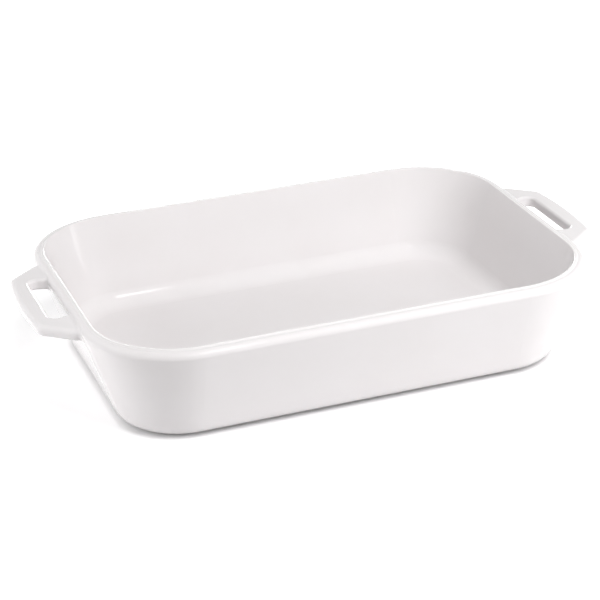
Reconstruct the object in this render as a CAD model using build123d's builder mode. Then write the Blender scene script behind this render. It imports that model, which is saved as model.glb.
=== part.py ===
from build123d import *
from math import radians, tan
import os

os.makedirs("parts", exist_ok=True)

# A stoneware lasagna dish: a deep tapered tub with a rolled lip, a slotted
# handle luted on to each short end, and a bare foot ring under the floor.
# The origin is the middle of the footprint on the table. X runs along the
# dish to the right handle, Y to the back and Z up. Millimetres and degrees.

# Plan of the rim, over the roll of the lip
rim_length = 340.0
rim_width = 240.0
rim_corner_radius = 62.0

# Upright section of the wall
dish_height = 69.4
wall_lean = 18.0
floor_thickness = 7.5
heel_radius = 11.0
cove_radius = 14.0

# Lip: a fine raised bead round the mouth, a shallow valley beside it, and a
# broad rolled shoulder; the parts of its section are shares of its width
lip_width = 7.0
bead_width_share = 0.2
bead_height_share = 0.12
mouth_radius_share = 0.12
bead_radius_share = 0.12
valley_radius_share = 0.16
roll_radius_share = 0.55

# Foot ring, left free of glaze
foot_height = 1.2
foot_width = 6.0
foot_setback = 1.0
foot_edge_radius = 0.5

# Handles: size and place of the grip
handle_reach = 25.0
handle_top_drop = 3.2
handle_thickness = 7.8
handle_corner_reach = 22.3
handle_corner_radius = 7.5

# Handles: rounding of the grip's long outer edges, as a share of its thickness
handle_edge_share = 0.42

# Handles: the root, luted to the wall with a smooth seam all round; a margin of
# the short end's straight part stays free beside it, and the legs draw in from it
root_reach = 2.5
root_margin = 2.0
root_radius = 8.0
root_bury = 5.0
leg_draw_in = 17.0
seam_radius = 3.5

# Handles: the finger slot between the wall and the grip, shorter at the wall,
# with its margins from the ends of the root
slot_reach = 12.6
slot_margin = 22.5
slot_wall_margin = 26.75
slot_corner_radius = 5.5
slot_edge_radius = 2.0

# Overrun past a face, for cuts
cut_overrun = 5.0

# A face counts as upright where its normal rises by less than this share
flat_limit_share = 0.01

# Sizes of the lip's section
bead_width = lip_width * bead_width_share
bead_height = lip_width * bead_height_share
mouth_radius = lip_width * mouth_radius_share
bead_radius = lip_width * bead_radius_share
valley_radius = lip_width * valley_radius_share
roll_radius = lip_width * roll_radius_share

# Heights and slopes that follow from the sizes above
shoulder_height = dish_height - bead_height
floor_top = foot_height + floor_thickness
lean_rate = tan(radians(wall_lean))
roll_lead = roll_radius / tan(radians(90 - wall_lean) / 2) - roll_radius

# Offsets from the rim's outline, outward positive, of the section's corners
heel_offset = roll_lead - (shoulder_height - foot_height) * lean_rate
heel_tangent = heel_radius * tan(radians(90 - wall_lean) / 2)
mouth_offset = -lip_width
bead_offset = mouth_offset + bead_width
valley_offset = bead_offset + bead_height
cove_offset = mouth_offset - (dish_height - floor_top) * lean_rate
floor_offset = cove_offset - cove_radius

# Outline of the rim in plan, which the section follows
rim_end = rim_length / 2
rim_side = rim_width / 2
with BuildLine() as rim_path:
    right_half = FilletPolyline(
        (0, rim_side),
        (rim_end, rim_side),
        (rim_end, -rim_side),
        (0, -rim_side),
        radius=rim_corner_radius,
    )
    mirror(right_half, about=Plane.YZ)

# Tub: the wall's section swept round the rim's outline, and the floor inside it
section_plane = Plane(origin=(0, rim_side, 0), x_dir=(0, 1, 0), z_dir=(1, 0, 0))
with BuildPart() as dish_body:
    with BuildSketch(section_plane):
        with BuildLine():
            FilletPolyline(
                (floor_offset, foot_height),
                (heel_offset, foot_height),
                (roll_lead, shoulder_height),
                (valley_offset, shoulder_height),
                (bead_offset, dish_height),
                (mouth_offset, dish_height),
                (cove_offset, floor_top),
                (floor_offset, floor_top),
                radius=(heel_radius, roll_radius, valley_radius, bead_radius, mouth_radius, cove_radius),
            )
            Line((floor_offset, floor_top), (floor_offset, foot_height))
        make_face()
    sweep(path=rim_path.wires()[0])
    with BuildSketch(Plane.XY.offset(foot_height)):
        RectangleRounded(
            rim_length + 2 * floor_offset,
            rim_width + 2 * floor_offset,
            rim_corner_radius + floor_offset,
        )
    extrude(amount=floor_thickness)

# Foot ring: a low band just inside the heel, flat on the table
foot_offset = heel_offset - heel_tangent - foot_setback
with BuildPart() as foot_ring:
    with BuildSketch():
        RectangleRounded(
            rim_length + 2 * foot_offset,
            rim_width + 2 * foot_offset,
            rim_corner_radius + foot_offset,
        )
        offset(amount=-foot_width, mode=Mode.SUBTRACT)
    extrude(amount=foot_height)
    fillet(foot_ring.faces().sort_by(Axis.Z)[0].edges(), foot_edge_radius)

# Grip: a plate with rounded edges, its end buried in the wall, and the finger
# slot cut through it
handle_top = dish_height - handle_top_drop
handle_bottom = handle_top - handle_thickness
handle_end = rim_end + handle_reach
buried_end = rim_end - root_bury
root_half = rim_side - rim_corner_radius - root_margin
slot_half = root_half - slot_margin
slot_wall_half = root_half - slot_wall_margin
slot_taper = (slot_half - slot_wall_half) / slot_reach
slot_start = buried_end - cut_overrun
with BuildPart() as grip:
    with BuildSketch(Plane.XY.offset(handle_bottom)) as plan:
        with BuildLine():
            corner = (rim_end + handle_corner_reach, root_half - leg_draw_in)
            root = (rim_end + root_reach, root_half)
            inside = (buried_end, root_half)
            back_side = [corner, root, inside]
            front_side = [(reach, -across) for reach, across in reversed(back_side)]
            Polyline(*back_side, *front_side)
            ThreePointArc(front_side[-1], (handle_end, 0), corner)
        make_face()
        fillet(plan.vertices().group_by(Axis.X)[-1], handle_corner_radius)
        fillet(plan.vertices().group_by(Axis.X)[1], root_radius)
    extrude(amount=handle_thickness)
    outer_faces = grip.faces().filter_by(lambda face: abs(face.normal_at().Z) < flat_limit_share)
    outer_faces = outer_faces.filter_by(lambda face: face.center().X > rim_end)
    outer_edges = outer_faces.edges().filter_by(Axis.Z, reverse=True)
    fillet(outer_edges, handle_edge_share * handle_thickness)
    with BuildSketch(Plane.XY.offset(handle_bottom - cut_overrun)) as slot:
        with BuildLine():
            slot_end = (rim_end + slot_reach, slot_half)
            slot_inside = (slot_start, slot_wall_half - slot_taper * (rim_end - slot_start))
            back_side = [slot_end, slot_inside]
            front_side = [(reach, -across) for reach, across in reversed(back_side)]
            Polyline(*back_side, *front_side, close=True)
        make_face()
        fillet(slot.vertices().group_by(Axis.X)[-1], slot_corner_radius)
    extrude(amount=handle_thickness + 2 * cut_overrun, mode=Mode.SUBTRACT)
    slot_faces = grip.faces(Select.LAST).filter_by(lambda face: abs(face.normal_at().Z) < flat_limit_share)
    slot_edges = slot_faces.edges().filter_by(Axis.Z, reverse=True)
    slot_edges = slot_edges.filter_by(lambda edge: edge.center().X > rim_end - root_bury / 2)
    fillet(slot_edges, slot_edge_radius)

# Handles: the grip is joined to the tub, the seam between them is rounded all
# the way round, and then the tub is taken away so that the root seats on it
with BuildPart() as handle_right:
    add(dish_body.part)
    add(grip.part)
    fillet(handle_right.edges(Select.NEW), seam_radius)
    add(dish_body.part, mode=Mode.SUBTRACT)

with BuildPart() as handle_left:
    add(dish_body.part)
    add(grip.part, rotation=(0, 0, 180))
    fillet(handle_left.edges(Select.NEW), seam_radius)
    add(dish_body.part, mode=Mode.SUBTRACT)

for name, piece in {
    "dish_body": dish_body,
    "foot_ring": foot_ring,
    "handle_right": handle_right,
    "handle_left": handle_left,
}.items():
    piece.part.label = name
    export_step(piece.part, f"parts/{name}.step")
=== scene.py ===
from math import cos, radians, sin

import bpy
from mathutils import Matrix, Vector

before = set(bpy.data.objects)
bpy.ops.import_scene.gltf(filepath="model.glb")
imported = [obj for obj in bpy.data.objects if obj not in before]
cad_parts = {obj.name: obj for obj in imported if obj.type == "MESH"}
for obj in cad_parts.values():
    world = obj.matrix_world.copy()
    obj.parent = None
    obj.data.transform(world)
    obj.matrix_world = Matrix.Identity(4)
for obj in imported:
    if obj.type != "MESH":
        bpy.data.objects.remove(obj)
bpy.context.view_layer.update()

bl_info = {
    "name": "Lasagna dish dressing",
    "version": (1, 0, 0),
    "blender": (4, 5, 0),
    "location": "3D View > Sidebar > Dish",
    "description": "Glazes the stoneware lasagna dish and sets it in a plain studio",
    "category": "Object",
}

GLAZED_NODES = ("dish_body", "handle_left", "handle_right")
CLAY_NODES = ("foot_ring",)


# Settings that a user would change


class GlazeSettings(bpy.types.PropertyGroup):
    """The white gloss glaze on the tub and the handles."""

    colour: bpy.props.FloatVectorProperty(
        name="Glaze colour",
        description="Colour of the opaque white glaze",
        subtype="COLOR",
        size=3,
        min=0.0,
        max=1.0,
        default=(0.812, 0.787, 0.79),
    )
    thin_colour: bpy.props.FloatVectorProperty(
        name="Thin glaze colour",
        description="Colour where the glaze lies a little thinner on the clay",
        subtype="COLOR",
        size=3,
        min=0.0,
        max=1.0,
        default=(0.802, 0.775, 0.776),
    )
    roughness: bpy.props.FloatProperty(
        name="Gloss roughness",
        description="Roughness of the fired gloss surface",
        subtype="FACTOR",
        min=0.0,
        max=1.0,
        default=0.06,
    )
    ripple_depth: bpy.props.FloatProperty(
        name="Ripple depth",
        description="Height of the soft ripple that the glaze keeps from the dip",
        subtype="DISTANCE",
        unit="LENGTH",
        min=0.0,
        default=0.00002,
    )
    ripple_pitch: bpy.props.FloatProperty(
        name="Ripple pitch",
        description="Distance from one soft ripple to the next",
        subtype="DISTANCE",
        unit="LENGTH",
        min=0.001,
        default=0.009,
    )


class ClaySettings(bpy.types.PropertyGroup):
    """The bare fired clay of the foot ring."""

    colour: bpy.props.FloatVectorProperty(
        name="Clay colour",
        description="Colour of the bare fired stoneware",
        subtype="COLOR",
        size=3,
        min=0.0,
        max=1.0,
        default=(0.74, 0.68, 0.6),
    )
    grain_pitch: bpy.props.FloatProperty(
        name="Grain pitch",
        description="Size of the sand grains in the clay",
        subtype="DISTANCE",
        unit="LENGTH",
        min=0.0001,
        default=0.0006,
    )


class StudioSettings(bpy.types.PropertyGroup):
    """Floor, light and camera of the studio."""

    floor_colour: bpy.props.FloatVectorProperty(
        name="Floor colour",
        description="Colour of the pale floor",
        subtype="COLOR",
        size=3,
        min=0.0,
        max=1.0,
        default=(0.82, 0.815, 0.82),
    )
    room_level: bpy.props.FloatProperty(
        name="Room light",
        description="Level of the even light from all round",
        min=0.0,
        default=0.02,
    )
    camera_lens: bpy.props.FloatProperty(
        name="Lens",
        description="Focal length in millimetres on a 36 mm sensor",
        min=1.0,
        default=118.72,
    )
    camera_azimuth: bpy.props.FloatProperty(
        name="Camera azimuth",
        description="Turn of the camera round the dish, 0 at the front",
        subtype="ANGLE",
        unit="ROTATION",
        default=radians(-19.7375),
    )
    camera_elevation: bpy.props.FloatProperty(
        name="Camera elevation",
        description="Height of the camera over the table as an angle",
        subtype="ANGLE",
        unit="ROTATION",
        default=radians(24.489),
    )
    camera_roll: bpy.props.FloatProperty(
        name="Camera roll",
        description="Turn of the picture about the line of sight",
        subtype="ANGLE",
        unit="ROTATION",
        default=radians(-1.7186),
    )
    camera_distance: bpy.props.FloatProperty(
        name="Camera distance",
        description="Distance from the camera to its target",
        subtype="DISTANCE",
        unit="LENGTH",
        default=1.32705,
    )


# Finish of the glaze: the clouds in its thickness, with the part of their noise
# that runs from thick to thin, the share of its ripple that the highlights take,
# and its index of refraction, which says how strongly it mirrors
CLOUD_PITCH = 0.045
CLOUD_DETAIL = 3.0
CLOUD_START = 0.4
CLOUD_END = 0.65
RIPPLE_BUMP = 1.0
GLAZE_IOR = 1.5

# Finish of the clay: the grain, how dark its hollows are, and how deep they go
# as a share of the distance between the grains
GRAIN_DETAIL = 4.0
GRAIN_BREAKUP = 0.65
GRAIN_SHADE = 0.86
GRAIN_BUMP = 0.5
GRAIN_DEPTH_SHARE = 0.1
CLAY_ROUGHNESS = 0.85

# Floor sheet, a hair below the foot, so that the two faces never coincide
FLOOR_HALF = 4.0
FLOOR_HEIGHT = -0.0002
FIBRE_PITCH = 0.3
FIBRE_SHADE = 0.99

# Glow of the floor: low near the dish, where the lamps do the rest, and 1 far
# from it; a painted contact shadow puts it out where something stands over the floor within a few
# millimetres
GLOW_NEAR = 0.2
GLOW_FAR = 0.6
GLOW_NEAR_LEVEL = 0.52
GLOW_FAR_LEVEL = 1.0
PAINTED_SHADOW_REACH = 0.006

# Softboxes: name, place in metres, width and height in metres, power in watts,
# and whether the glaze mirrors them; the large and the low ones only light the dish
SOFTBOXES = (
    ("high_softbox", (0.193, -0.529, 1.09), (0.6, 0.6), 10.0, False),
    ("key_softbox", (0.476, -0.825, 0.58), (0.5, 0.5), 3.7, False),
    ("left_softbox", (-1.128, 0.0, 0.44), (0.7, 0.7), 3.7, False),
    ("back_softbox", (0.0, 1.299, 0.78), (1.2, 1.2), 4.0, False),
    ("left_strip", (-0.821, 0.22, 0.06), (0.4, 0.12), 2.3, False),
    ("right_strip", (0.736, -0.425, 0.06), (0.4, 0.12), 1.4, False),
    ("back_strip", (0.45, 1.25, 0.36), (0.5, 0.16), 3.2, True),
    ("glint_box", (0.15, -0.8, 0.85), (0.16, 0.3), 0.8, True),
    ("corner_box", (0.913, -0.387, 0.16), (0.14, 0.2), 0.15, True),
)
SOFTBOX_AIM = Vector((0.0, 0.0, 0.03))

# Room, as the camera and the gloss see it
WHITE = (1.0, 1.0, 1.0)
WHITE_LEVEL = 1.0

# Camera: where it looks, the width of its sensor in millimetres, and its reach in metres
CAMERA_TARGET = Vector((-0.00656, -0.00421, 0.035))
CAMERA_SENSOR = 36.0
CAMERA_NEAREST = 0.05
CAMERA_FARTHEST = 50.0


# Nodes that the materials share


def new_material(name):
    """An empty node material and its node tree."""
    material = bpy.data.materials.new(name)
    material.use_nodes = True
    material.node_tree.nodes.clear()
    return material, material.node_tree


def add_node(tree, kind, values=(), **inputs):
    """One node, with its own properties set from values and its sockets from inputs."""
    node = tree.nodes.new(kind)
    for key, value in dict(values).items():
        setattr(node, key, value)
    for key, value in inputs.items():
        node.inputs[key.replace("_", " ")].default_value = value
    return node


def noise(tree, where, pitch, detail=2.0, breakup=0.5):
    """Noise on the object's own coordinates, with one soft wave every pitch metres."""
    node = add_node(
        tree, "ShaderNodeTexNoise", Scale=1.0 / pitch, Detail=detail, Roughness=breakup
    )
    tree.links.new(where.outputs["Object"], node.inputs["Vector"])
    return node.outputs["Fac"]


def two_tone(tree, first, second, blend):
    """A colour that runs from first to second as blend goes from 0 to 1."""
    mix = add_node(tree, "ShaderNodeMix", {"data_type": "RGBA"})
    mix.inputs["A"].default_value = (*first, 1.0)
    mix.inputs["B"].default_value = (*second, 1.0)
    tree.links.new(blend, mix.inputs["Factor"])
    return mix.outputs["Result"]


def relief(tree, height, strength, depth):
    """The surface's direction as height, from 0 to 1, raises it by up to depth metres."""
    bump = add_node(tree, "ShaderNodeBump", Strength=strength, Distance=depth)
    tree.links.new(height, bump.inputs["Height"])
    return bump.outputs["Normal"]


def combine(tree, operation, first, second):
    """One number out of two, such as their product or the greater of them."""
    node = add_node(tree, "ShaderNodeMath", {"operation": operation})
    tree.links.new(first, node.inputs[0])
    tree.links.new(second, node.inputs[1])
    return node.outputs["Value"]


def seen_directly(tree):
    """1 on rays from the camera, a mirror image or glass, and 0 on rays that carry light."""
    path = add_node(tree, "ShaderNodeLightPath").outputs
    seen_or_mirrored = combine(tree, "MAXIMUM", path["Is Camera Ray"], path["Is Glossy Ray"])
    return combine(tree, "MAXIMUM", seen_or_mirrored, path["Is Transmission Ray"])


def to_output(tree, surface, kind="ShaderNodeOutputMaterial"):
    """Ends a tree with its output node."""
    tree.links.new(surface, add_node(tree, kind).inputs["Surface"])


# Materials


def glaze_material(settings):
    """White gloss glaze: a faint cloud in its thickness, and a soft ripple in its highlights."""
    material, tree = new_material("white_gloss_glaze")
    link = tree.links.new
    where = add_node(tree, "ShaderNodeTexCoord")
    cloud = noise(tree, where, CLOUD_PITCH, detail=CLOUD_DETAIL)
    spread = add_node(tree, "ShaderNodeMapRange", From_Min=CLOUD_START, From_Max=CLOUD_END)
    link(cloud, spread.inputs["Value"])
    tint = two_tone(tree, settings.colour, settings.thin_colour, spread.outputs["Result"])
    ripple = noise(tree, where, settings.ripple_pitch)
    gloss = add_node(
        tree, "ShaderNodeBsdfPrincipled", Roughness=settings.roughness, IOR=GLAZE_IOR
    )
    link(tint, gloss.inputs["Base Color"])
    link(relief(tree, ripple, RIPPLE_BUMP, settings.ripple_depth), gloss.inputs["Normal"])
    to_output(tree, gloss.outputs["BSDF"])
    return material


def clay_material(settings):
    """Bare stoneware: sandy grain in colour and height, dry to the touch."""
    material, tree = new_material("bare_stoneware")
    link = tree.links.new
    where = add_node(tree, "ShaderNodeTexCoord")
    grain = noise(tree, where, settings.grain_pitch, detail=GRAIN_DETAIL, breakup=GRAIN_BREAKUP)
    hollow = [GRAIN_SHADE * channel for channel in settings.colour]
    depth = GRAIN_DEPTH_SHARE * settings.grain_pitch
    clay = add_node(tree, "ShaderNodeBsdfPrincipled", Roughness=CLAY_ROUGHNESS)
    link(two_tone(tree, hollow, settings.colour, grain), clay.inputs["Base Color"])
    link(relief(tree, grain, GRAIN_BUMP, depth), clay.inputs["Normal"])
    to_output(tree, clay.outputs["BSDF"])
    return material


def floor_material(settings):
    """Pale floor: plain matt paper that looks white, and darkens where the dish shades it and
    where a painted contact shadow lies under the foot.

    Its glow, for what looks at it, is a level that rises in a straight line with
    the distance from the middle, times the open share of the view just over it, which paints a
    contact shadow where the dish stands close over the floor.
    """
    material, tree = new_material("pale_floor_paper")
    link = tree.links.new
    where = add_node(tree, "ShaderNodeTexCoord")
    fibre = noise(tree, where, FIBRE_PITCH)
    shaded = [FIBRE_SHADE * channel for channel in settings.floor_colour]
    matt = add_node(tree, "ShaderNodeBsdfDiffuse")
    link(two_tone(tree, settings.floor_colour, shaded, fibre), matt.inputs["Color"])
    distance = add_node(tree, "ShaderNodeVectorMath", {"operation": "LENGTH"})
    link(where.outputs["Object"], distance.inputs[0])
    level = add_node(
        tree,
        "ShaderNodeMapRange",
        From_Min=GLOW_NEAR,
        From_Max=GLOW_FAR,
        To_Min=GLOW_NEAR_LEVEL,
        To_Max=GLOW_FAR_LEVEL,
    )
    link(distance.outputs["Value"], level.inputs["Value"])
    glow = combine(tree, "MULTIPLY", seen_directly(tree), level.outputs["Result"])
    # Ambient occlusion puts the glow out under the foot: a painted contact shadow
    painted_shadow_ao = add_node(tree, "ShaderNodeAmbientOcclusion", Distance=PAINTED_SHADOW_REACH)
    glow_with_painted_shadow = combine(tree, "MULTIPLY", glow, painted_shadow_ao.outputs["AO"])
    white = add_node(tree, "ShaderNodeEmission")
    link(glow_with_painted_shadow, white.inputs["Strength"])
    both = add_node(tree, "ShaderNodeAddShader")
    link(matt.outputs["BSDF"], both.inputs[0])
    link(white.outputs["Emission"], both.inputs[1])
    to_output(tree, both.outputs["Shader"])
    return material


# Pieces and stage


def dress(node_name, material):
    """Gives a CAD node its finish, in place of the plain one that it was packed with."""
    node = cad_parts[node_name]
    node.data.materials.clear()
    node.data.materials.append(material)


def flat_sheet(name, half, height):
    """A square level sheet: the corners are plus and minus half along X and Y."""
    mesh = bpy.data.meshes.new(name)
    plan = ((-half, -half), (half, -half), (half, half), (-half, half))
    mesh.from_pydata([(x, y, height) for x, y in plan], [], [(0, 1, 2, 3)])
    sheet = bpy.data.objects.new(name, mesh)
    bpy.context.scene.collection.objects.link(sheet)
    return sheet


def softbox(name, place, size, power, mirrored):
    """A rectangular area lamp that faces the dish, and shows in its gloss if mirrored is true."""
    lamp = bpy.data.lights.new(name, "AREA")
    lamp.shape = "RECTANGLE"
    lamp.size, lamp.size_y = size
    lamp.energy = power
    holder = bpy.data.objects.new(name, lamp)
    holder.location = place
    holder.visible_glossy = mirrored
    towards_dish = SOFTBOX_AIM - Vector(place)
    holder.rotation_euler = towards_dish.to_track_quat("-Z", "Y").to_euler()
    bpy.context.scene.collection.objects.link(holder)
    return holder


def room(settings):
    """Faint even light from all round, which looks plain white to the camera and in the gloss."""
    world = bpy.data.worlds.new("studio_room")
    world.use_nodes = True
    tree = world.node_tree
    tree.nodes.clear()
    link = tree.links.new
    light = add_node(tree, "ShaderNodeBackground", Strength=settings.room_level)
    white = add_node(tree, "ShaderNodeBackground", Strength=WHITE_LEVEL)
    for background in (light, white):
        background.inputs["Color"].default_value = (*WHITE, 1.0)
    mix = add_node(tree, "ShaderNodeMixShader")
    link(seen_directly(tree), mix.inputs["Fac"])
    link(light.outputs["Background"], mix.inputs[1])
    link(white.outputs["Background"], mix.inputs[2])
    to_output(tree, mix.outputs["Shader"], "ShaderNodeOutputWorld")
    bpy.context.scene.world = world


def place_camera(settings):
    """Stands the camera back from its target along azimuth and elevation, and rolls it.

    The roll turns the picture's right and up about the line of sight.
    """
    azimuth, elevation = settings.camera_azimuth, settings.camera_elevation
    roll = settings.camera_roll
    back = Vector((sin(azimuth) * cos(elevation), -cos(azimuth) * cos(elevation), sin(elevation)))
    level = Vector((cos(azimuth), sin(azimuth), 0.0))
    rise = back.cross(level)
    right = cos(roll) * level + sin(roll) * rise
    up = cos(roll) * rise - sin(roll) * level
    data = bpy.data.cameras.new("studio_camera")
    data.lens = settings.camera_lens
    data.sensor_width = CAMERA_SENSOR
    data.clip_start, data.clip_end = CAMERA_NEAREST, CAMERA_FARTHEST
    camera = bpy.data.objects.new("studio_camera", data)
    turn = Matrix((right, up, back)).transposed().to_4x4()
    stand = CAMERA_TARGET + settings.camera_distance * back
    camera.matrix_world = Matrix.Translation(stand) @ turn
    bpy.context.scene.collection.objects.link(camera)
    bpy.context.scene.camera = camera


# Operators


class DISH_OT_glaze(bpy.types.Operator):
    """Glaze the tub and both handles"""

    bl_idname = "dish.glaze"
    bl_label = "Glaze tub and handles"

    def execute(self, context):
        material = glaze_material(context.scene.dish_glaze)
        for name in GLAZED_NODES:
            dress(name, material)
        return {"FINISHED"}


class DISH_OT_foot(bpy.types.Operator):
    """Leave the foot ring in bare clay"""

    bl_idname = "dish.foot"
    bl_label = "Bare foot ring"

    def execute(self, context):
        material = clay_material(context.scene.dish_clay)
        for name in CLAY_NODES:
            dress(name, material)
        return {"FINISHED"}


class DISH_OT_stage(bpy.types.Operator):
    """Set up the floor, the softboxes, the room light and the camera"""

    bl_idname = "dish.stage"
    bl_label = "Studio"

    def execute(self, context):
        settings = context.scene.dish_studio
        floor = flat_sheet("pale_floor", FLOOR_HALF, FLOOR_HEIGHT)
        floor.data.materials.append(floor_material(settings))
        for name, place, size, power, mirrored in SOFTBOXES:
            softbox(name, place, size, power, mirrored)
        room(settings)
        place_camera(settings)
        context.scene.view_settings.view_transform = "Standard"
        return {"FINISHED"}


class DISH_PT_panel(bpy.types.Panel):
    """Lists the steps that dress the dish, and their settings"""

    bl_idname = "DISH_PT_panel"
    bl_label = "Lasagna dish"
    bl_space_type = "VIEW_3D"
    bl_region_type = "UI"
    bl_category = "Dish"

    def draw(self, context):
        column = self.layout.column()
        for operator in STEPS:
            column.operator(operator.bl_idname)
        for name, group in SETTINGS.items():
            for key in group.__annotations__:
                column.prop(getattr(context.scene, name), key)


SETTINGS = {
    "dish_glaze": GlazeSettings,
    "dish_clay": ClaySettings,
    "dish_studio": StudioSettings,
}
STEPS = (DISH_OT_glaze, DISH_OT_foot, DISH_OT_stage)
CLASSES = (*SETTINGS.values(), *STEPS, DISH_PT_panel)


def register():
    for cls in CLASSES:
        bpy.utils.register_class(cls)
    for name, group in SETTINGS.items():
        setattr(bpy.types.Scene, name, bpy.props.PointerProperty(type=group))


def unregister():
    for name in SETTINGS:
        delattr(bpy.types.Scene, name)
    for cls in reversed(CLASSES):
        bpy.utils.unregister_class(cls)


def main():
    register()
    bpy.ops.dish.glaze()
    bpy.ops.dish.foot()
    bpy.ops.dish.stage()


if __name__ == "__main__":
    main()
